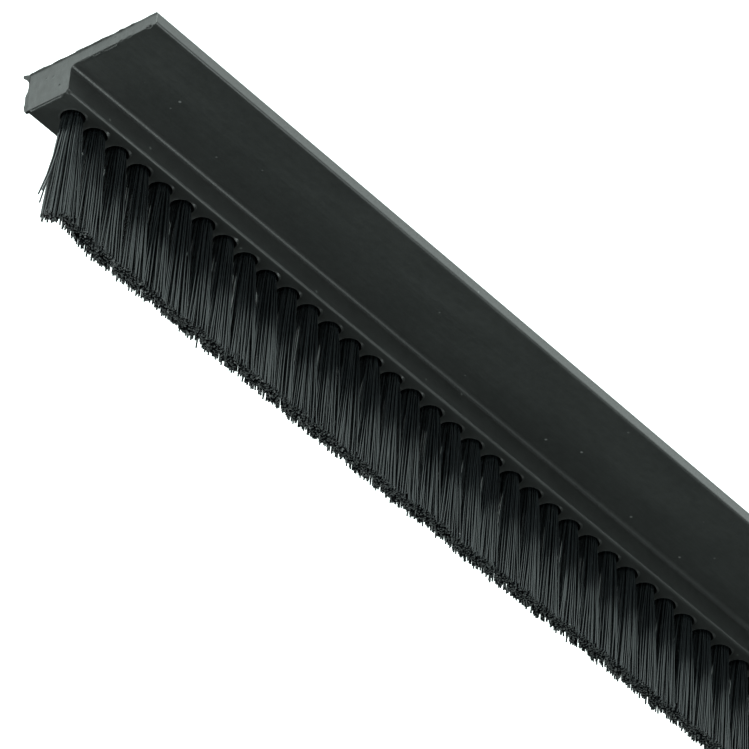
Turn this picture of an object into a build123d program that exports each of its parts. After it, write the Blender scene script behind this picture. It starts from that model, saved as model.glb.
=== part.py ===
from build123d import *
import math
import os

os.makedirs("parts", exist_ok=True)

# Brush seal strip: an L-section extrusion (a solid block with a thin flange
# beside it) and one row of filament tufts standing in blind holes of the block.
# Frame: the flat back face lies in Z = 0, the tufts stand along +Z, the strip
# runs along X, the flange points to +Y. The origin is the middle of the back.
# All lengths in millimetres.

# extruded profile
strip_length = 250.0
total_width = 25.0
block_width = 8.4
block_height = 7.2
flange_thickness = 2.2
root_radius = 0.95       # inside corner between flange and block
shoulder_radius = 0.5    # block edge over the flange
outer_radius = 0.45      # block edge on the far side
rim_radius = 0.5         # flange edge, face side
back_radius = 0.2        # both edges of the back face

# row of holes
tuft_count = 49
pitch = 5.0
row_from_block_side = 5.0
hole_radius = 1.85
hole_depth = 4.6         # from the block face to the start of the drill point
drill_point_angle = 118.0
lip_radius = 2.15        # collar raised round each mouth
lip_height = 0.16
lip_taper = 55.0

# anchors: a short length of flat wire across each hole, biting both walls
anchor_thickness = 0.35
anchor_width = 4.3
anchor_height = 1.5
anchor_base = 3.2        # its lower edge above the back face

# tufts, each one folded in half round its anchor
free_length = 20.0
root_clearance = 0.05
fold_bottom = 1.95
fold_radius = 0.65
tip_half_width = 2.35    # along the strip
tip_half_depth = 1.45    # across the strip
end_tip_reach = 4.65      # the first and last tuft fan out towards the ends

y_outer = -total_width / 2
y_rim = total_width / 2
y_step = y_outer + block_width
y_row = y_outer + row_from_block_side
z_shoulder = block_height - hole_depth
z_tip = block_height + free_length
z_anchor = anchor_base + anchor_height / 2
drill_point = hole_radius / math.tan(math.radians(drill_point_angle / 2))
tuft_radius = hole_radius - root_clearance


# extruded_profile: section swept along X, square cut at both ends,
# one row of drilled blind holes with a raised lip at each mouth
with BuildPart() as profile:
    with BuildSketch(Plane.YZ.offset(-strip_length / 2)) as section:
        with BuildLine():
            Polyline(
                (y_outer, 0),
                (y_rim, 0),
                (y_rim, flange_thickness),
                (y_step, flange_thickness),
                (y_step, block_height),
                (y_outer, block_height),
                close=True,
            )
        make_face()
        corners = section.vertices()
        fillet(corners.sort_by_distance((y_step, flange_thickness))[0], root_radius)
        fillet(
            section.vertices().sort_by_distance((y_step, block_height))[0],
            shoulder_radius,
        )
        fillet(
            section.vertices().sort_by_distance((y_outer, block_height))[0],
            outer_radius,
        )
        fillet(
            section.vertices().sort_by_distance((y_rim, flange_thickness))[0],
            rim_radius,
        )
        fillet(section.vertices().sort_by_distance((y_rim, 0))[0], back_radius)
        fillet(section.vertices().sort_by_distance((y_outer, 0))[0], back_radius)
    extrude(amount=strip_length)

    # lips: low cones on the block face
    with BuildSketch(Plane.XY.offset(block_height)):
        with Locations((0, y_row)):
            with GridLocations(pitch, 0, tuft_count, 1):
                Circle(lip_radius)
    extrude(amount=lip_height, taper=lip_taper)

    # holes, with the drill point below the shoulder
    with Locations((0, y_row, block_height + lip_height)):
        with GridLocations(pitch, 0, tuft_count, 1):
            Hole(radius=hole_radius, depth=hole_depth + lip_height)
    with Locations((0, y_row, z_shoulder)):
        with GridLocations(pitch, 0, tuft_count, 1):
            Cone(
                bottom_radius=hole_radius,
                top_radius=0,
                height=drill_point,
                rotation=(180, 0, 0),
                align=(Align.CENTER, Align.CENTER, Align.MIN),
                mode=Mode.SUBTRACT,
            )

    # the slots that the anchors cut in the walls
    with Locations((0, y_row, z_anchor)):
        with GridLocations(pitch, 0, tuft_count, 1):
            Box(anchor_thickness, anchor_width, anchor_height, mode=Mode.SUBTRACT)

profile.part.label = "extruded_profile"
export_step(profile.part, "parts/extruded_profile.step")


# anchor_wires: the flat wire staples, one in each hole
with BuildPart() as anchors:
    with Locations((0, y_row, z_anchor)):
        with GridLocations(pitch, 0, tuft_count, 1):
            Box(anchor_thickness, anchor_width, anchor_height)

anchors.part.label = "anchor_wires"
export_step(anchors.part, "parts/anchor_wires.step")


# tuft_01 to tuft_49: the folded root in the hole, the slot that the anchor
# leaves through it, and the free length, which fans out along the strip and
# thins a little across it
for number in range(1, tuft_count + 1):
    x_tuft = (number - (tuft_count + 1) / 2) * pitch
    reach_left = end_tip_reach if number == 1 else tip_half_width
    reach_right = end_tip_reach if number == tuft_count else tip_half_width
    z_mouth = block_height + lip_height

    with BuildPart() as tuft:
        # free length: a cone, trimmed by the side faces and by the thickness
        with Locations((x_tuft, y_row, z_mouth)):
            Cone(
                bottom_radius=tuft_radius,
                top_radius=max(reach_left, reach_right),
                height=z_tip - z_mouth,
                align=(Align.CENTER, Align.CENTER, Align.MIN),
            )
        with BuildSketch(Plane.XZ.offset(-y_row)):
            with BuildLine():
                Polyline(
                    (x_tuft - tuft_radius, z_mouth),
                    (x_tuft + tuft_radius, z_mouth),
                    (x_tuft + reach_right, z_tip),
                    (x_tuft - reach_left, z_tip),
                    close=True,
                )
            make_face()
        extrude(amount=10, both=True, mode=Mode.INTERSECT)
        with BuildSketch(Plane.YZ.offset(x_tuft)):
            with BuildLine():
                Polyline(
                    (y_row - tuft_radius, z_mouth),
                    (y_row + tuft_radius, z_mouth),
                    (y_row + tip_half_depth, z_tip),
                    (y_row - tip_half_depth, z_tip),
                    close=True,
                )
            make_face()
        extrude(amount=10, both=True, mode=Mode.INTERSECT)
        # shank in the hole, and the fold below the anchor
        with Locations((x_tuft, y_row, z_shoulder)):
            Cylinder(
                radius=tuft_radius,
                height=z_mouth - z_shoulder,
                align=(Align.CENTER, Align.CENTER, Align.MIN),
            )
            Cone(
                bottom_radius=tuft_radius,
                top_radius=fold_radius,
                height=z_shoulder - fold_bottom,
                rotation=(180, 0, 0),
                align=(Align.CENTER, Align.CENTER, Align.MIN),
            )
        # the anchor passes through the fold
        with Locations((x_tuft, y_row, z_anchor)):
            Box(
                anchor_thickness,
                anchor_width + 1.0,
                anchor_height,
                mode=Mode.SUBTRACT,
            )

    tuft.part.label = f"tuft_{number:02d}"
    export_step(tuft.part, f"parts/tuft_{number:02d}.step")
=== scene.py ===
import math

import bpy
import numpy as np
from mathutils import Matrix, Vector
from mathutils.geometry import delaunay_2d_cdt


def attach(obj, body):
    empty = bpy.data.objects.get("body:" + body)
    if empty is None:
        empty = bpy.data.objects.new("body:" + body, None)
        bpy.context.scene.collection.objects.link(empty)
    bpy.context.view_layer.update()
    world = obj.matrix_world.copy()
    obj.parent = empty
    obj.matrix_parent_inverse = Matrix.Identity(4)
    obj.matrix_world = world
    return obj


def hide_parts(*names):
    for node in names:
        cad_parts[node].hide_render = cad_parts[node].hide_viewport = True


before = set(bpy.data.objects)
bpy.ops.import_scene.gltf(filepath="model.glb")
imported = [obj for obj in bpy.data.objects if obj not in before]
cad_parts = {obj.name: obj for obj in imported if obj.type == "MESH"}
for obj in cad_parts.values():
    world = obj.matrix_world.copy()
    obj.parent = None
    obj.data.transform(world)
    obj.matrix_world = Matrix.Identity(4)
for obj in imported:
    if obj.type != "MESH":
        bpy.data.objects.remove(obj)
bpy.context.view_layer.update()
SCENE = bpy.context.scene

# ------------------------------------------------------------------ sizes, mm
LENGTH, WIDTH = 250.0, 25.0
BLOCK_W, BLOCK_H, FLANGE_T = 8.4, 7.2, 2.2
Y_OUT, Y_RIM = -WIDTH / 2, WIDTH / 2
Y_STEP = Y_OUT + BLOCK_W
Y_ROW = Y_OUT + 5.0
TUFTS, PITCH = 49, 5.0
SHOULDER_R, ROOT_R, OUTER_R, RIM_R = 0.5, 0.95, 0.45, 0.5
HOLE_R, SHOULDER_Z, LIP_R = 1.85, 2.6, 2.12
Z_TIP = BLOCK_H + 20.0
# pits in the near cut end: y, z, radius, depth
PITS = ((-7.5, 2.7, 0.34, 0.05), (-8.9, 2.45, 0.2, 0.05), (-6.06, 5.0, 0.16, 0.14), (4.4, 0.9, 0.15, 0.06))
MM = 0.001


# ------------------------------------------------------------- small helpers
def smooth_noise(x, seed, scale):
    """Value noise along a line, -1 to 1."""
    x = np.asarray(x, float) / scale
    i = np.floor(x).astype(np.int64)
    f = x - i
    f = f * f * (3 - 2 * f)

    def h(k):
        v = np.sin((k * 127.1 + seed * 311.7) * 1.0) * 43758.5453
        return 2 * (v - np.floor(v)) - 1

    return h(i) * (1 - f) + h(i + 1) * f


def noise2(x, y, seed, scale):
    x = np.asarray(x, float) / scale
    y = np.asarray(y, float) / scale
    i, j = np.floor(x).astype(np.int64), np.floor(y).astype(np.int64)
    fx, fy = x - i, y - j
    fx, fy = fx * fx * (3 - 2 * fx), fy * fy * (3 - 2 * fy)

    def h(a, b):
        v = np.sin(a * 127.1 + b * 269.5 + seed * 311.7) * 43758.5453
        return 2 * (v - np.floor(v)) - 1

    return (h(i, j) * (1 - fx) + h(i + 1, j) * fx) * (1 - fy) + (
        h(i, j + 1) * (1 - fx) + h(i + 1, j + 1) * fx
    ) * fy


def link(ob):
    SCENE.collection.objects.link(ob)
    return ob


class Mesh:
    """Collects vertices (mm), faces and one normal for each corner."""

    def __init__(self):
        self.v, self.f, self.n = [], [], []

    def add(self, pts):
        start = len(self.v)
        self.v.extend([tuple(map(float, p)) for p in pts])
        return start

    def face(self, idx, normals):
        self.f.append(tuple(int(i) for i in idx))
        self.n.extend([tuple(map(float, n)) for n in normals])

    def make(self, name):
        me = bpy.data.meshes.new(name)
        me.from_pydata([(x * MM, y * MM, z * MM) for x, y, z in self.v], [], self.f)
        me.polygons.foreach_set("use_smooth", [True] * len(me.polygons))
        me.normals_split_custom_set(self.n)
        me.update()
        return link(bpy.data.objects.new(name, me))


# ------------------------------------------------------------------- profile
PER_CELL = 10  # stations in a pitch, and segments of a quarter of a hole
FREE = 9.0  # a corner that limits nothing


def arc(cy, cz, r, a0, a1, n):
    """Points of a corner, outward normals, and how deep a ring may lie inside
    it; a hollow corner has a negative r."""
    out = []
    for k in range(n + 1):
        a = math.radians(a0 + (a1 - a0) * k / n)
        s = 1 if r > 0 else -1
        p = (cy + abs(r) * math.cos(a), cz + abs(r) * math.sin(a))
        out.append((p, (s * math.cos(a), s * math.sin(a)), 0.85 * r if r > 0 else FREE))
    return out


def section():
    """The outline as (y, z), normal, limit. It starts at the inner end of the
    block face and runs down the step, out along the flange, and back under the
    strip to the outer end of the block face, which closes it."""
    pts = []
    pts += arc(Y_STEP - SHOULDER_R, BLOCK_H - SHOULDER_R, SHOULDER_R, 90, 0, 9)
    pts += arc(Y_STEP + ROOT_R, FLANGE_T + ROOT_R, -ROOT_R, 180, 270, 7)
    pts += arc(Y_RIM - RIM_R, FLANGE_T - RIM_R, RIM_R, 90, 0, 6)
    pts += arc(Y_RIM - 0.2, 0.2, 0.2, 0, -90, 4)
    pts += arc(Y_OUT + 0.2, 0.2, 0.2, -90, -180, 4)
    pts += arc(Y_OUT + OUTER_R, BLOCK_H - OUTER_R, OUTER_R, 180, 90, 6)
    return pts


def densify(pts, step):
    """Splits the long straight runs, so that no face is much longer than wide."""
    out = [pts[0]]
    for (p, n, a), (q, m, b) in zip(pts, pts[1:]):
        d = math.dist(p, q)
        k = max(1, round(d / step)) if d > 1.0 else 1
        for j in range(1, k + 1):
            t = j / k
            last = j == k
            out.append(((p[0] + (q[0] - p[0]) * t, p[1] + (q[1] - p[1]) * t), m if last else n, b if last else FREE))
    return out


def bump01(x, lo, hi, soft):
    """1 between lo and hi, 0 outside, with soft shoulders."""
    a = np.clip((x - lo) / soft, 0, 1)
    b = np.clip((hi - x) / soft, 0, 1)
    a, b = a * a * (3 - 2 * a), b * b * (3 - 2 * b)
    return float(a * b)


def end_style(y, z, n, seed, worn):
    """How the saw left the edge of a cut end at one point of the outline: the
    weights of the burr, the lip and the chip, and their sizes in mm."""
    s = y + 2.3 * z
    wob = float(smooth_noise(s, seed, 0.9))
    fine = float(smooth_noise(s, seed + 5, 0.3))
    burr = bump01(-z, -0.12, 1.0, 0.1)
    crest = 0.08 + 0.04 * wob + 0.03 * fine
    lip = chip = rise = back = push = 0.0
    if worn:
        crest = 0.17 + 0.06 * wob + 0.05 * fine
        crest *= 1 - 0.55 * bump01(y, 7.5, 12.7, 1.2)
        push = 0.05 * burr * (1 + wob)
        if n[1] > 0.9 and abs(z - FLANGE_T) < 0.1:
            lip = max(bump01(y, -2.6, -0.2, 0.5) * 0.5, bump01(y, -0.1, 1.55, 0.25), bump01(y, 1.7, 4.9, 0.3))
            rise = 0.36 * (0.9 + 0.18 * wob + 0.12 * fine) * (0.7 + 0.3 * bump01(y, 1.9, 4.9, 0.8))
            back = 0.2
            chip = bump01(y, 10.3, 11.6, 0.3)
            chip = max(chip, 0.55 * bump01(y, 5.3, 6.0, 0.2), 0.4 * bump01(y, 6.4, 8.3, 0.4) * (1 + 0.6 * fine))
        if n[1] > 0.9 and abs(z - BLOCK_H) < 0.1:
            lip = bump01(y, -11.75, -5.2, 0.5)
            rise, back = 0.40 * (0.92 + 0.12 * wob + 0.08 * fine), 0.16
        if n[0] > 0.15 and n[1] > 0.15 and z > 5.0:
            push = -0.24 * math.sin(math.pi * math.atan2(n[0], n[1]) / (math.pi / 2))
        if n[0] < -0.3 and z > 0.5:
            burr = max(burr, 0.8 * bump01(z, 3.0, 9.0, 0.8))
            crest = 0.13 + 0.05 * wob + 0.04 * fine
            push = 0.24 + 0.05 * wob + 0.03 * z * (1 + 0.3 * wob)
    return burr, crest, lip, rise, back, chip, 0.05 + 0.02 * wob + 0.02 * fine, push


def build_profile():
    m = Mesh()
    outline = densify(section(), 2.8)
    n_out = len(outline)
    y_in, y_far = Y_STEP - SHOULDER_R, Y_OUT + OUTER_R  # flat part of the block face
    side = [y_far + (y_in - y_far) * k / PER_CELL for k in range(PER_CELL + 1)]
    closed = outline + [((y, BLOCK_H), (0, 1), FREE) for y in side[1:-1]]
    n_all = len(closed)
    nrm = [(0, *n) for _, n, _ in closed]
    cells = TUFTS * PER_CELL
    x_cell = -TUFTS * PITCH / 2
    xs = [x_cell + PITCH * k / PER_CELL for k in range(cells + 1)]
    x_end = LENGTH / 2 - 1.5

    # body: the open outline, swept past all the holes
    grid = []
    for x in xs:
        s = m.add([(x, y, z) for (y, z), _, _ in outline])
        grid.append(list(range(s, s + n_out)))
    for lo, hi in zip(grid, grid[1:]):
        for j in range(n_out - 1):
            m.face((lo[j], hi[j], hi[j + 1], lo[j + 1]), (nrm[j], nrm[j], nrm[j + 1], nrm[j + 1]))

    # the line across the block face between two holes
    across = []
    for c in range(TUFTS + 1):
        s = m.add([(xs[c * PER_CELL], y, BLOCK_H) for y in side[1:-1]])
        g = grid[c * PER_CELL]
        across.append([g[-1]] + list(range(s, s + PER_CELL - 1)) + [g[0]])

    holes(m, grid, across, side)

    # plain bands beyond the first and last hole, then the cut ends
    for sign, c, g, seed, worn in ((-1, 0, 0, 3, True), (1, TUFTS, cells, 17, False)):
        last = grid[g] + across[c][1:-1]
        s = m.add([(sign * x_end, y, z) for (y, z), _, _ in closed])
        coarse = list(range(s, s + n_all))
        lo, hi = (coarse, last) if sign < 0 else (last, coarse)
        for j in range(n_all):
            k = (j + 1) % n_all
            m.face((lo[j], hi[j], hi[k], lo[k]), (nrm[j], nrm[j], nrm[k], nrm[k]))
        cut_end(m, closed, coarse, sign, seed, worn)
    flake(m)
    return m.make("profile")


def holes(m, grid, across, side):
    """The block face round each hole, its lip, the wall and the drill point."""
    up = (0, 0, 1)
    N = 4 * PER_CELL
    rings = [  # radius, height over the face
        (LIP_R + 0.07, 0.0),
        (LIP_R, 0.05),
        (LIP_R - 0.07, 0.11),
        (LIP_R - 0.14, 0.17),
        (LIP_R - 0.19, 0.19),
        (LIP_R - 0.23, 0.12),
        (HOLE_R, 0.0),
        (HOLE_R, -0.5),
        (HOLE_R, -1.6),
        (HOLE_R, SHOULDER_Z - BLOCK_H),
    ]
    ang = [-math.pi / 4 + 2 * math.pi * k / N for k in range(N)]
    ang = [a - 0.35 * math.sin(a - math.radians(62)) for a in ang]  # closer where the burr is
    faces, fixed = [], {}
    for c in range(TUFTS):
        x0 = (c - (TUFTS - 1) / 2) * PITCH
        i0 = c * PER_CELL
        left, right = across[c], across[c + 1]
        border = []
        border += [right[k] for k in range(PER_CELL)]  # going to +Y
        border += [grid[i0 + PER_CELL - k][0] for k in range(PER_CELL)]  # going to -X
        border += [left[PER_CELL - k] for k in range(PER_CELL)]  # going to -Y
        border += [grid[i0 + k][-1] for k in range(PER_CELL)]  # going to +X
        # the drill threw its burr up on the inner side
        tall = 1.15 + 0.2 * float(smooth_noise(c, 71, 0.9))
        turn = math.radians(59 + 6 * float(smooth_noise(c, 73, 0.9)))
        ear = [math.exp(-((((a - turn + math.pi) % (2 * math.pi) - math.pi) / math.radians(21)) ** 2)) for a in ang]
        rough = [
            (0.3 + 1.25 * tall * e)
            * (
                1
                + 0.25 * float(smooth_noise(a * 2.4 + c * 9.1, 31, 1.0))
                + 0.15 * float(smooth_noise(a * 7.0 + c * 5.3, 37, 1.0))
            )
            for a, e in zip(ang, ear)
        ]
        ids = []
        for j, (r, h) in enumerate(rings):
            pts = []
            for k, a in enumerate(ang):
                w = rough[k] if 0 < j < 6 else 1.0
                rr = r
                if j < 6:
                    rr += 0.22 * ear[k] * (1 - j / 6) + 0.02 * float(smooth_noise(a * 3 + c * 3.7, 41 + j, 1.0))
                pts.append((x0 + rr * math.cos(a), Y_ROW + rr * math.sin(a), BLOCK_H + h * (w if h > 0 else 1)))
            ids.append(m.add(pts))
        point = m.add([(x0, Y_ROW, SHOULDER_Z - HOLE_R / math.tan(math.radians(59)))])
        for k in range(N):
            q = (k + 1) % N
            fixed[ids[0] + k] = up
            m.face((ids[0] + k, border[k], border[q], ids[0] + q), (up,) * 4)
            for j in range(len(rings) - 1):
                faces.append((ids[j + 1] + k, ids[j] + k, ids[j] + q, ids[j + 1] + q))
            faces.append((point, ids[-1] + k, ids[-1] + q))
    smooth(m, faces, fixed)


def cut_end(m, closed, coarse, sign, seed, worn):
    """The last millimetre and a half of the strip and its sawn face."""
    # a finer outline
    pts, start = [], []
    for k, (p, n, lim) in enumerate(closed):
        q = closed[(k + 1) % len(closed)][0]
        start.append(len(pts))
        steps = max(1, round(math.dist(p, q) / 0.28))
        for i in range(steps):
            t = i / steps
            pts.append(((p[0] + (q[0] - p[0]) * t, p[1] + (q[1] - p[1]) * t), n, lim if i == 0 else FREE))
            if i:  # past a corner the run is straight
                a, b = closed[k][1], closed[(k + 1) % len(closed)][1]
                pts[-1] = (pts[-1][0], a if abs(a[0] * b[0] + a[1] * b[1]) > 0.999 else a, FREE)
    n = len(pts)
    style = [end_style(y, z, nv, seed, worn) for (y, z), nv, _ in pts]

    def ring(dist=None, which=None):
        out = []
        for ((y, z), nv, lim), (burr, crest, lip, rise, back, chip, bevel, push) in zip(pts, style):
            if dist is not None:
                w = min(1.0, max(0.0, (0.62 - dist) / 0.3))
                inset = -(rise * lip + push) * w * w * (3 - 2 * w)
                prot = -(dist + chip * 0.4 * (1 - dist / 0.9))
            else:
                worn_in = max(0.0, -push)
                plain = (
                    (worn_in, -bevel),
                    (worn_in + 0.3 * bevel, -0.3 * bevel),
                    (worn_in + bevel, 0),
                    (worn_in + bevel + 0.08, 0),
                    (0.42, 0),
                )[which]
                ridge = ((-push, 0.5 * crest), (0.05 - push, crest), (0.15, 0.9 * crest), (0.28, 0.0), (0.42, 0))[which]
                ledge = (
                    (-rise, -back - 0.02),
                    (-rise + 0.04, -back + 0.05),
                    (0.0, -back),
                    (0.05, -0.01),
                    (0.42, 0),
                )[which]
                hole = ((0, -0.34), (0.1, -0.33), (0.26, -0.26), (0.36, -0.03), (0.44, 0))[which]
                wp = max(0.0, 1 - burr - lip - chip)
                t = wp + burr + lip + chip
                inset = (plain[0] * wp + ridge[0] * burr + ledge[0] * lip + hole[0] * chip) / t
                prot = (plain[1] * wp + ridge[1] * burr + ledge[1] * lip + hole[1] * chip) / t
            inset = min(inset, lim)
            out.append((sign * (LENGTH / 2 + prot), y - nv[0] * inset, z - nv[1] * inset))
        s = m.add(out)
        return list(range(s, s + n))

    rings = [ring(dist=d) for d in (0.9, 0.62, 0.45, 0.32)] + [ring(which=w) for w in range(5)]
    first = rings[0]
    faces = []
    # from the coarse outline to the fine one
    for k in range(len(closed)):
        k2 = (k + 1) % len(closed)
        a = start[k]
        b = start[k2] if k2 else n
        seg = [first[i % n] for i in range(a, b + 1)]
        mid = (len(seg) - 1 + 1) // 2
        for i in range(len(seg) - 1):
            c = coarse[k] if i < mid else coarse[k2]
            faces.append((seg[i], c, seg[i + 1]) if sign < 0 else (c, seg[i], seg[i + 1]))
        faces.append((seg[mid], coarse[k], coarse[k2]) if sign < 0 else (coarse[k], seg[mid], coarse[k2]))
    for p, q in zip(rings, rings[1:]):
        lo, hi = (q, p) if sign < 0 else (p, q)
        for j in range(n):
            k = (j + 1) % n
            faces.append((lo[j], hi[j], hi[k], lo[k]))

    # the face inside the last ring, with shallow saw marks and a few pits
    inner = rings[-1]
    poly = np.array([m.v[i][1:] for i in inner])
    spots = [Vector(p) for p in poly]
    rng = np.random.default_rng(seed)
    pits = PITS if worn else ()
    for y in np.arange(Y_OUT + 0.3, Y_RIM - 0.2, 0.4):
        for z in np.arange(0.3, BLOCK_H - 0.2, 0.4):
            jy, jz = y + rng.uniform(-0.1, 0.1), z + rng.uniform(-0.1, 0.1)
            if not inside(poly, jy, jz) or clearance(poly, jy, jz) < 0.14:
                continue
            if all(math.dist((jy, jz), (a, b)) > r * 1.9 + 0.1 for a, b, r, _ in pits):
                spots.append(Vector((jy, jz)))
    deep = {}
    for a, b, r, d in pits:
        for rr, part in ((0, 1.0), (0.55, 0.85), (1.0, 0.12), (1.5, 0.0)):
            for k in range(1 if rr == 0 else 9):
                t = 2 * math.pi * k / 9 + rr
                w = r * rr * (1 + 0.25 * float(smooth_noise(t, seed + 77, 1.1)))
                p = Vector((a + w * math.cos(t), b + w * math.sin(t)))
                if inside(poly, *p) and clearance(poly, *p) > 0.08:
                    deep[len(spots)] = d * part
                    spots.append(p)
    edges = [(k, (k + 1) % n) for k in range(n)]
    v, _, tris, ov, _, _ = delaunay_2d_cdt(spots, edges, [], 1, 1e-6, True)
    index = {}
    new = []
    for k, orig in enumerate(ov):
        o = min(orig) if orig else None
        if o is not None and o < n:
            index[k] = inner[o]
        else:
            y, z = v[k].x, v[k].y
            t = y * 0.22 + z * 0.975
            mark = (
                0.008 * math.sin(t * 10.0 + 1.5 * float(noise2(y, z, seed + 1, 2.0)))
                + 0.016 * float(noise2(y * 0.3, z * 1.6, seed + 2, 0.7))
                + 0.008 * float(noise2(y, z, seed + 3, 0.35))
            )
            edge = min(1.0, max(0.0, (clearance(poly, y, z) - 0.05) / 0.5))
            new.append((k, (sign * (LENGTH / 2 + mark * edge - deep.get(o, 0.0)), y, z)))
    s = m.add([p for _, p in new])
    for j, (k, _) in enumerate(new):
        index[k] = s + j
    for t in tris:
        if not inside(poly, sum(v[k].x for k in t) / 3, sum(v[k].y for k in t) / 3):
            continue  # outside, in the angle between block and flange
        f = [index[k] for k in t]
        p = [np.array(m.v[k]) for k in f]
        nx = np.cross(p[1] - p[0], p[2] - p[0])[0]
        faces.append(tuple(f) if nx * sign > 0 else tuple(reversed(f)))

    fixed = {i: (0, *closed[k][1]) for k, i in enumerate(coarse)}
    fixed.update({first[start[k]]: (0, *closed[k][1]) for k in range(len(closed))})
    smooth(m, faces, fixed)


def smooth(m, faces, fixed=None, limit=0.72):
    """Adds faces with normals that are smooth except over sharp angles."""
    fixed = fixed or {}
    acc, geo = {}, []
    for f in faces:
        p = [np.array(m.v[k]) for k in f]
        nv = sum(np.cross(p[k] - p[0], p[k + 1] - p[0]) for k in range(1, len(f) - 1))
        area = float(np.linalg.norm(nv))
        unit = nv / area if area > 1e-12 else np.array([0.0, 0.0, 1.0])
        geo.append(unit)
        if area > 1e-9:
            for k in f:
                acc.setdefault(k, []).append((unit, area))
    for f, nv in zip(faces, geo):
        corner = []
        for k in f:
            if k in fixed and np.dot(fixed[k], nv) > limit:
                corner.append(fixed[k])
                continue
            w = np.sum([u * a for u, a in acc.get(k, []) if np.dot(u, nv) > limit] or [nv], axis=0)
            corner.append(w / (np.linalg.norm(w) + 1e-12))
        m.face(f, corner)


def flake(m):
    """The flap that hangs from the outer corner of the near end."""
    x = -LENGTH / 2
    # cross-sections from the corner outwards: lower, upper, thickness
    rows = []
    for t, low, high, thick in ((0.0, 0.0, 1.8, 0.22), (0.25, 0.02, 1.3, 0.16), (0.55, 0.06, 0.96, 0.12), (0.9, 0.12, 0.78, 0.09), (1.0, 0.2, 0.66, 0.05)):
        y = Y_OUT + 0.12 - 0.86 * t
        front = x - 0.04 - 0.5 * t**1.3
        rows.append(
            m.add([(front, y, low), (front - 0.02, y, (low + high) / 2), (front, y, high), (front + thick, y, high), (front + thick, y, low)])
        )
    faces = []
    for a, b in zip(rows, rows[1:]):
        for k in range(5):
            q = (k + 1) % 5
            faces.append((a + k, a + q, b + q, b + k))
    faces.append(tuple(rows[-1] + k for k in range(5)))
    faces.append(tuple(rows[0] + k for k in (4, 3, 2, 1, 0)))
    p = [np.array(m.v[rows[-1] + k]) for k in range(5)]
    if np.cross(p[1] - p[0], p[3] - p[0])[1] > 0:
        faces = [tuple(reversed(f)) for f in faces]
    smooth(m, faces)


def inside(poly, y, z):
    a, b = poly, np.roll(poly, -1, axis=0)
    c = (a[:, 1] > z) != (b[:, 1] > z)
    with np.errstate(divide="ignore", invalid="ignore"):
        x = (b[:, 0] - a[:, 0]) * (z - a[:, 1]) / (b[:, 1] - a[:, 1]) + a[:, 0]
    return bool(np.count_nonzero(c & (y < x)) % 2)


def clearance(poly, y, z):
    a, b = poly, np.roll(poly, -1, axis=0)
    p = np.array([y, z])
    d = b - a
    t = np.clip(((p - a) * d).sum(1) / np.maximum((d * d).sum(1), 1e-12), 0, 1)
    return np.sqrt((((a + d * t[:, None]) - p) ** 2).sum(1)).min()


# ------------------------------------------------------------------ filaments
FILAMENTS, FIL_R, SIDES = 108, 0.15, 8


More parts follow.
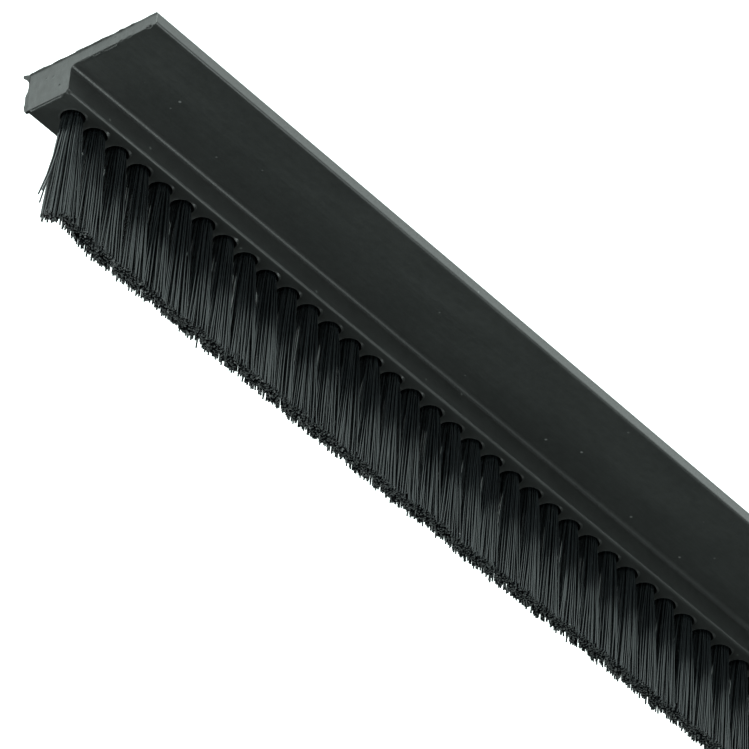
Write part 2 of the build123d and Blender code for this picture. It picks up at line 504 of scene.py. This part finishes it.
def tuft_curves(number, rng):
    """Centre lines of one tuft's filaments: array (filament, ring, xyz) in mm."""
    x0 = (number - (TUFTS + 1) / 2) * PITCH
    first, last = number == 1, number == TUFTS
    # roots: packed over the mouth of the hole
    n = FILAMENTS
    k = np.arange(n) + 0.5
    rad = np.sqrt(k / n)
    th = k * 2.399963 + rng.uniform(0, 2 * np.pi)
    u = rad * np.cos(th) + rng.normal(0, 0.03, n)
    v = rad * np.sin(th) + rng.normal(0, 0.03, n)
    length = np.hypot(u, v)
    over = np.maximum(length, 1.0)
    u, v = u / over, v / over
    root = np.column_stack([u * 1.46 - 0.06, v * 1.46])
    # the free length spreads to a rounded oblong, so that the tufts meet
    phi = np.arctan2(v, u)
    square = (np.abs(np.cos(phi)) ** 5 + np.abs(np.sin(phi)) ** 5) ** (-1 / 5)
    fu, fv = u * square, v * square
    # clumps: neighbours hold together towards their tips
    m = 13
    cu = rng.uniform(-1, 1, m * 3)
    cv = rng.uniform(-1, 1, m * 3)
    keep = np.hypot(cu, cv) < 1
    cu, cv = cu[keep][:m], cv[keep][:m]
    d = (u[:, None] - cu[None]) ** 2 + (v[:, None] - cv[None]) ** 2
    which = d.argmin(1)
    pull = rng.uniform(0.0, 0.14, len(cu))[which]
    tu = fu + (cu[which] - u) * pull
    tv = fv + (cv[which] - v) * pull
    half_x = rng.uniform(2.68, 2.86)
    half_y = rng.uniform(1.5, 1.64)
    lean_x = rng.normal(0, 0.07)
    lean_y = rng.normal(0, 0.06)
    clump_x = rng.normal(0, 0.1, len(cu))[which]
    clump_y = rng.normal(0, 0.06, len(cu))[which]
    dx = tu * half_x + lean_x + clump_x + rng.normal(0, 0.13, n)
    dy = tv * half_y + lean_y + clump_y + rng.normal(0, 0.07, n)
    if first or last:
        s = -1 if first else 1
        out = np.clip(s * tu, 0, 1)
        dx = s * np.minimum(s * dx + 0.95 * out, 3.3 + rng.uniform(0, 0.25, n))
    stray = rng.random(n) < 0.06
    dx = np.where(stray, dx + rng.normal(0, 0.3 if first or last else 0.7, n), dx)
    dy = np.where(stray, dy + rng.normal(0, 0.3, n), dy)
    # the shears ran slightly out of line with the strip
    trim = float(np.interp(x0, (-120, -75, -45, -15, 5, 25, 60, 120), (0.15, 0.42, 0.38, 0.12, -0.25, -0.6, -0.6, -0.1)))
    tip_z = Z_TIP + trim + 0.05 * rng.normal() + rng.normal(0, 0.06, len(cu))[which] + rng.normal(0, 0.1, n)
    tip_z = np.where(rng.random(n) < 0.05, tip_z + rng.uniform(0.1, 0.45, n), tip_z)
    tip_z = np.where(rng.random(n) < 0.04, tip_z - rng.uniform(0.2, 1.1, n), tip_z)
    if number < 4:  # the near end of the brush is cut a little hollow
        tip_z = tip_z + np.interp(
            x0 + dx,
            (-124.0, -123.0, -121.5, -119.3, -116.4, -114.5, -113.0),
            (0.8, 0.7, 0.0, -1.3, -1.0, -0.4, 0.0),
        )
    # a filament that leans is as long as the rest, so its tip is lower
    lean = np.hypot(dx - root[:, 0], dy - root[:, 1])
    tip_z = tip_z - 0.5 * lean**2 / (2 * 19.5)
    tip_z = np.minimum(tip_z, Z_TIP + 0.62)
    # stations from the anchor up: one in the hole, the rest in the free length
    t = np.array([0.0, 0.1, 0.28, 0.5, 0.75, 1.0])
    bow_x = rng.normal(0, 0.13, n) + rng.normal(0, 0.10, len(cu))[which]
    bow_y = rng.normal(0, 0.10, n)
    if first or last:  # the outermost ones keep to the bundle
        bow_x = s * np.clip(s * bow_x, -0.1, 0.08)
    if first:  # three stray ones, cut shorter
        lone = np.argsort(dx)[:3]
        dx[lone] = (-4.75, -4.5, -4.05)
        dy[lone] = (-0.35, 0.1, -0.6)
        tip_z[lone] = Z_TIP + np.array([-2.2, -2.9, -1.2])
        bow_x[lone] = (0.78, 0.7, 0.45)
    P = np.zeros((n, len(t) + 1, 3))
    P[:, 0] = np.column_stack([x0 + root[:, 0], Y_ROW + root[:, 1], np.full(n, 4.8)])
    for j, s in enumerate(t):
        e = s**0.74
        w = 4 * s * (1 - s)
        P[:, j + 1, 0] = x0 + root[:, 0] + (dx - root[:, 0]) * e + bow_x * w
        P[:, j + 1, 1] = Y_ROW + root[:, 1] + (dy - root[:, 1]) * e + bow_y * w
        P[:, j + 1, 2] = BLOCK_H + (tip_z - BLOCK_H) * s
    return P


def build_tuft(number, mat, cut):
    rng = np.random.default_rng(1000 + number)
    P = tuft_curves(number, rng)
    n, rings = P.shape[:2]
    a = np.arange(SIDES) * 2 * np.pi / SIDES
    phase = rng.uniform(0, 2 * np.pi, n)
    r = FIL_R * rng.uniform(0.9, 1.08, n)
    ca = np.cos(a[None] + phase[:, None]) * r[:, None]
    sa = np.sin(a[None] + phase[:, None]) * r[:, None]
    V = np.zeros((n, rings + 1, SIDES, 3))  # the last ring is the cut face's own
    for j in range(rings):
        V[:, j, :, 0] = P[:, j, 0, None] + ca
        V[:, j, :, 1] = P[:, j, 1, None] + sa
        V[:, j, :, 2] = P[:, j, 2, None]
    # tips are cut a little askew
    slope = rng.normal(0, 0.2, (n, 2))
    V[:, rings - 1, :, 2] += slope[:, :1] * ca + slope[:, 1:] * sa
    V[:, rings] = V[:, rings - 1]
    base = np.arange(n)[:, None, None] * (rings + 1) * SIDES
    j = np.arange(rings - 1)[None, :, None]
    k = np.arange(SIDES)[None, None, :]
    k2 = (k + 1) % SIDES
    q = np.stack(
        [base + j * SIDES + k, base + j * SIDES + k2, base + (j + 1) * SIDES + k2, base + (j + 1) * SIDES + k],
        axis=-1,
    ).reshape(-1, 4)
    cap = (np.arange(n)[:, None] * (rings + 1) * SIDES + rings * SIDES + np.arange(SIDES)[None]).reshape(-1, SIDES)
    # the root end, closed as well, in the hole
    foot = (np.arange(n)[:, None] * (rings + 1) * SIDES + np.arange(SIDES)[None, ::-1]).reshape(-1, SIDES)
    name = f"filaments_{number:02d}"
    me = bpy.data.meshes.new(name)
    verts = V.reshape(-1, 3) * MM
    me.vertices.add(len(verts))
    me.vertices.foreach_set("co", verts.astype(np.float32).ravel())
    loops = np.concatenate([q.ravel(), cap.ravel(), foot.ravel()])
    starts = np.concatenate([np.arange(len(q)) * 4, len(q) * 4 + np.arange(2 * n) * SIDES])
    totals = np.concatenate([np.full(len(q), 4), np.full(2 * n, SIDES)])
    me.loops.add(len(loops))
    me.loops.foreach_set("vertex_index", loops.astype(np.int32))
    me.polygons.add(len(starts))
    me.polygons.foreach_set("loop_start", starts.astype(np.int32))
    me.polygons.foreach_set("loop_total", totals.astype(np.int32))
    me.polygons.foreach_set("use_smooth", [k < len(starts) - n for k in range(len(starts))])
    me.update(calc_edges=True)
    me.validate()
    # one column of the map for each filament, its length along it
    uv = me.uv_layers.new(name="OFBake")
    col = (np.arange(n) + 0.1) / n
    wide = 0.8 / n
    rows = np.linspace(0.02, 0.94, rings)
    U = np.zeros((n, rings - 1, SIDES, 4, 2))
    for jj in range(rings - 1):
        for c, (du, row) in enumerate(((0, jj), (1, jj), (1, jj + 1), (0, jj + 1))):
            U[:, jj, :, c, 0] = (col + du * wide)[:, None]
            U[:, jj, :, c, 1] = rows[row]
    C = np.zeros((n, SIDES, 2))
    C[..., 0] = (col + wide / 2)[:, None] + 0.5 * wide * np.cos(a)[None]
    C[..., 1] = 0.97 + 0.02 * np.sin(a)[None]
    F = C[:, ::-1].copy()
    F[..., 1] = 0.008 + 0.006 * np.sin(a)[None, ::-1]
    uv.data.foreach_set("uv", np.concatenate([U.reshape(-1), C.reshape(-1), F.reshape(-1)]).astype(np.float32))
    ob = link(bpy.data.objects.new(name, me))
    me.materials.append(mat)
    me.materials.append(cut)
    me.polygons.foreach_set("material_index", np.repeat([0, 1], [len(q), 2 * n]).astype(np.int32))
    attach(ob, "root")
    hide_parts(f"tuft_{number:02d}")
    return ob


# ------------------------------------------------------------------ materials
def new_material(name):
    mat = bpy.data.materials.new(name)
    mat.use_nodes = True
    nt = mat.node_tree
    bsdf = next(n for n in nt.nodes if n.type == "BSDF_PRINCIPLED")
    return mat, nt, bsdf


def add(nt, kind, **values):
    node = nt.nodes.new(kind)
    for key, value in values.items():
        if key in node.inputs:
            node.inputs[key].default_value = value
        else:
            setattr(node, key, value)
    return node


def ramp(nt, source, stops):
    r = nt.nodes.new("ShaderNodeValToRGB")
    e = r.color_ramp.elements
    while len(e) < len(stops):
        e.new(0.5)
    for k, (pos, col) in enumerate(stops):
        e[k].position = pos
        e[k].color = (*col, 1) if len(col) == 3 else col
    nt.links.new(source, r.inputs["Fac"])
    return r


def stretched(nt, scale, detail, where, rough=0.55):
    """Noise in the object's own space, its size set for each axis."""
    mp = add(nt, "ShaderNodeMapping")
    mp.inputs["Scale"].default_value = scale
    nt.links.new(where, mp.inputs["Vector"])
    nz = add(nt, "ShaderNodeTexNoise", Scale=1.0, Detail=detail, Roughness=rough)
    nt.links.new(mp.outputs["Vector"], nz.inputs["Vector"])
    return nz


def plastic_material():
    mat, nt, b = new_material("extruded_black_plastic")
    tc = add(nt, "ShaderNodeTexCoord").outputs["Object"]
    cloud = stretched(nt, (60, 190, 190), 4, tc)
    streak = stretched(nt, (12, 1400, 1400), 3, tc)
    grain = stretched(nt, (3000, 3600, 3600), 2, tc)
    col = ramp(nt, cloud.outputs["Fac"], [(0.3, (0.0205, 0.0218, 0.0210)), (0.7, (0.0255, 0.0270, 0.0260))])
    drawn = stretched(nt, (2, 2300, 2300), 3, tc)
    line = ramp(nt, drawn.outputs["Fac"], [(0.35, (0.94, 0.94, 0.94)), (0.65, (1.06, 1.06, 1.06))])
    mottle = stretched(nt, (620, 900, 900), 3, tc, 0.7)
    patch = ramp(nt, mottle.outputs["Fac"], [(0.35, (0.90, 0.90, 0.90)), (0.65, (1.10, 1.10, 1.10))])
    patched = add(nt, "ShaderNodeMix", data_type="RGBA", blend_type="MULTIPLY")
    patched.inputs[0].default_value = 1.0
    nt.links.new(col.outputs["Color"], patched.inputs[6])
    nt.links.new(patch.outputs["Color"], patched.inputs[7])
    lined = add(nt, "ShaderNodeMix", data_type="RGBA", blend_type="MULTIPLY")
    lined.inputs[0].default_value = 1.0
    nt.links.new(patched.outputs[2], lined.inputs[6])
    nt.links.new(line.outputs["Color"], lined.inputs[7])
    # specks of dust
    cells = add(nt, "ShaderNodeTexVoronoi", Scale=260.0)
    nt.links.new(tc, cells.inputs["Vector"])
    near = add(nt, "ShaderNodeMapRange")
    near.inputs["From Min"].default_value = 0.07
    near.inputs["From Max"].default_value = 0.045
    nt.links.new(cells.outputs["Distance"], near.inputs["Value"])
    dusty = add(nt, "ShaderNodeMix", data_type="RGBA")
    dusty.inputs[7].default_value = (0.12, 0.124, 0.12, 1)
    nt.links.new(near.outputs["Result"], dusty.inputs[0])
    nt.links.new(lined.outputs[2], dusty.inputs[6])
    nt.links.new(dusty.outputs[2], b.inputs["Base Color"])
    mix = add(nt, "ShaderNodeMix", data_type="FLOAT")
    mix.inputs[0].default_value = 0.5
    nt.links.new(streak.outputs["Fac"], mix.inputs[2])
    nt.links.new(cloud.outputs["Fac"], mix.inputs[3])
    pores = stretched(nt, (4200, 4200, 4200), 1, tc)
    worn = add(nt, "ShaderNodeMix", data_type="FLOAT")
    worn.inputs[0].default_value = 0.5
    nt.links.new(mix.outputs[0], worn.inputs[2])
    nt.links.new(pores.outputs["Fac"], worn.inputs[3])
    rr = add(nt, "ShaderNodeMapRange")
    rr.inputs["From Min"].default_value = 0.34
    rr.inputs["From Max"].default_value = 0.66
    rr.inputs["To Min"].default_value = 0.3
    rr.inputs["To Max"].default_value = 0.48
    nt.links.new(worn.outputs[0], rr.inputs["Value"])
    nt.links.new(rr.outputs["Result"], b.inputs["Roughness"])
    h = add(nt, "ShaderNodeMix", data_type="FLOAT")
    h.inputs[0].default_value = 0.7
    nt.links.new(streak.outputs["Fac"], h.inputs[2])
    nt.links.new(grain.outputs["Fac"], h.inputs[3])
    bump = add(nt, "ShaderNodeBump", Strength=0.3, Distance=0.00003)
    nt.links.new(h.outputs[0], bump.inputs["Height"])
    nt.links.new(bump.outputs["Normal"], b.inputs["Normal"])
    b.inputs["IOR"].default_value = 1.5
    return mat


def sawn_material():
    mat, nt, b = new_material("sawn_black_plastic")
    tc = add(nt, "ShaderNodeTexCoord").outputs["Object"]
    cloud = stretched(nt, (500, 1100, 420), 4, tc, 0.65)
    lines = stretched(nt, (300, 260, 2600), 3, tc)
    grain = stretched(nt, (3000, 3000, 3000), 4, tc)
    col = ramp(nt, cloud.outputs["Fac"], [(0.3, (0.014, 0.015, 0.014)), (0.7, (0.042, 0.044, 0.043))])
    nt.links.new(col.outputs["Color"], b.inputs["Base Color"])
    b.inputs["Roughness"].default_value = 0.42
    h = add(nt, "ShaderNodeMix", data_type="FLOAT")
    h.inputs[0].default_value = 0.5
    nt.links.new(lines.outputs["Fac"], h.inputs[2])
    nt.links.new(grain.outputs["Fac"], h.inputs[3])
    bump = add(nt, "ShaderNodeBump", Strength=0.35, Distance=0.00005)
    nt.links.new(h.outputs[0], bump.inputs["Height"])
    nt.links.new(bump.outputs["Normal"], b.inputs["Normal"])
    b.inputs["IOR"].default_value = 1.5
    return mat


def edge_highlight_material():
    mat, nt, b = new_material("painted_highlight_edge")
    tc = add(nt, "ShaderNodeTexCoord").outputs["Object"]
    # pale spots for the cut face next to the rim: a painted highlight along that edge
    spots = stretched(nt, (2600, 2600, 1500), 3, tc)
    col = ramp(nt, spots.outputs["Fac"], [(0.35, (0.03, 0.032, 0.031)), (0.5, (0.14, 0.145, 0.14)), (0.7, (0.26, 0.265, 0.26))])
    nt.links.new(col.outputs["Color"], b.inputs["Base Color"])
    b.inputs["Roughness"].default_value = 0.5
    b.inputs["IOR"].default_value = 1.5
    return mat


def filament_end_material():
    mat, nt, b = new_material("cut_filament_ends")
    tc = add(nt, "ShaderNodeTexCoord").outputs["Object"]
    spots = stretched(nt, (5200, 5200, 900), 2, tc)
    col = ramp(nt, spots.outputs["Fac"], [(0.35, (0.026, 0.028, 0.028)), (0.65, (0.066, 0.072, 0.072))])
    nt.links.new(col.outputs["Color"], b.inputs["Base Color"])
    b.inputs["Roughness"].default_value = 0.45
    b.inputs["IOR"].default_value = 1.53
    return mat


def filament_material():
    mat, nt, b = new_material("black_nylon_filament")
    tc = add(nt, "ShaderNodeTexCoord").outputs["Object"]
    strand = stretched(nt, (5200, 5200, 60), 1, tc)
    col = ramp(nt, strand.outputs["Fac"], [(0.35, (0.0048, 0.0061, 0.0068)), (0.65, (0.0112, 0.0136, 0.0148))])
    nt.links.new(col.outputs["Color"], b.inputs["Base Color"])
    b.inputs["Roughness"].default_value = 0.15
    b.inputs["IOR"].default_value = 1.48
    b.inputs["Specular Tint"].default_value = (0.93, 0.985, 1.0, 1)
    return mat


def steel_material():
    mat, nt, b = new_material("flat_wire_steel")
    tc = add(nt, "ShaderNodeTexCoord").outputs["Object"]
    draw = stretched(nt, (6000, 300, 6000), 3, tc)
    col = ramp(nt, draw.outputs["Fac"], [(0.3, (0.38, 0.38, 0.39)), (0.7, (0.55, 0.55, 0.56))])
    nt.links.new(col.outputs["Color"], b.inputs["Base Color"])
    b.inputs["Metallic"].default_value = 1.0
    b.inputs["Roughness"].default_value = 0.4
    return mat


# --------------------------------------------------------------------- camera
def camera():
    data = bpy.data.cameras.new("photo_camera")
    data.sensor_fit = "HORIZONTAL"
    data.sensor_width = 36.0
    data.lens = 339.241
    data.clip_start, data.clip_end = 0.05, 20.0
    ob = link(bpy.data.objects.new("photo_camera", data))
    rows = (
        (0.626295, -0.515630, -0.584705),
        (0.776724, 0.348515, 0.524630),
        (-0.066736, -0.782728, 0.618776),
    )
    ob.matrix_world = Matrix.Translation((-0.6825, 0.56125, 0.67947)) @ Matrix(rows).to_4x4()
    SCENE.camera = ob
    return ob


# ---------------------------------------------------------------------- stage
WORLD, GLOW, KEY, TOP, SIDE = 0.01, 1.42, 0.62, 6.3, 1.85
TINT = (0.90, 1.0, 0.975)


def stage():
    me = bpy.data.meshes.new("floor")
    s = 3.0
    me.from_pydata([(-s, -s, -0.0001), (s, -s, -0.0001), (s, s, -0.0001), (-s, s, -0.0001)], [], [(0, 1, 2, 3)])
    floor = link(bpy.data.objects.new("floor", me))
    mat, nt, b = new_material("pale_floor")
    tc = add(nt, "ShaderNodeTexCoord").outputs["Object"]
    nz = stretched(nt, (6, 6, 6), 3, tc)
    col = ramp(nt, nz.outputs["Fac"], [(0.3, (0.86, 0.88, 0.87)), (0.7, (0.88, 0.9, 0.89))])
    nt.links.new(col.outputs["Color"], b.inputs["Base Color"])
    b.inputs["Emission Color"].default_value = (*TINT, 1)
    b.inputs["Emission Strength"].default_value = GLOW
    b.inputs["Roughness"].default_value = 0.9
    b.inputs["Specular IOR Level"].default_value = 0.0
    me.materials.append(mat)

    world = bpy.data.worlds.new("studio")
    world.use_nodes = True
    SCENE.world = world
    bg = world.node_tree.nodes["Background"]
    bg.inputs["Color"].default_value = (*TINT, 1)
    bg.inputs["Strength"].default_value = WORLD

    def area(name, where, aim, wide, tall, power, up=(0, 0, 1)):
        """A soft light; its width lies across the given up direction."""
        data = bpy.data.lights.new(name, "AREA")
        data.shape = "RECTANGLE"
        data.size, data.size_y = wide, tall
        data.energy = power
        data.color = TINT
        ob = link(bpy.data.objects.new(name, data))
        back = (Vector(where) - Vector(aim)).normalized()
        right = Vector(up).cross(back).normalized()
        m = Matrix((right, back.cross(right), back)).transposed()
        ob.matrix_world = Matrix.Translation(where) @ m.to_4x4()
        return ob

    if KEY:
        # seen by the two long rounded edges; narrow along the strip
        key = Vector((0.435, 0.66, 0.612)).normalized()
        area("edge_light", Vector((-0.115, 0, 0)) + key * 0.4, (-0.1, 0, 0), 0.08, 0.17, KEY)
    if TOP:
        area("overhead", (-0.34, -0.12, 0.85), (-0.12, 0, 0), 0.6, 0.6, TOP, (0, 1, 0))
    if SIDE:
        area("end_light", (-1.1, -0.2, 0.55), (-0.1, 0, 0), 0.6, 0.6, SIDE)


# ----------------------------------------------------------------------- main
SCENE.view_settings.view_transform = "Standard"
camera()
stage()

plastic, sawn, edge_highlight = plastic_material(), sawn_material(), edge_highlight_material()
nylon, cut_nylon, steel = filament_material(), filament_end_material(), steel_material()

profile = build_profile()
profile.data.materials.append(plastic)
profile.data.materials.append(sawn)
profile.data.materials.append(edge_highlight)
mat_index = np.zeros(len(profile.data.polygons), np.int32)
for p in profile.data.polygons:
    if abs(p.center.x) > (LENGTH / 2 - 0.28) * MM and abs(p.normal.x) > 0.45:
        mat_index[p.index] = 1
        # the near end's cut face along the flange edge gets pale spots: a painted highlight
        if p.center.x < 0 and p.center.y > (Y_RIM - 0.16) * MM:
            mat_index[p.index] = 2
profile.data.polygons.foreach_set("material_index", mat_index)
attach(profile, "root")
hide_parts("extruded_profile")

for number in range(1, TUFTS + 1):
    build_tuft(number, nylon, cut_nylon)

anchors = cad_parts["anchor_wires"]
anchors.data.materials.clear()
anchors.data.materials.append(steel)
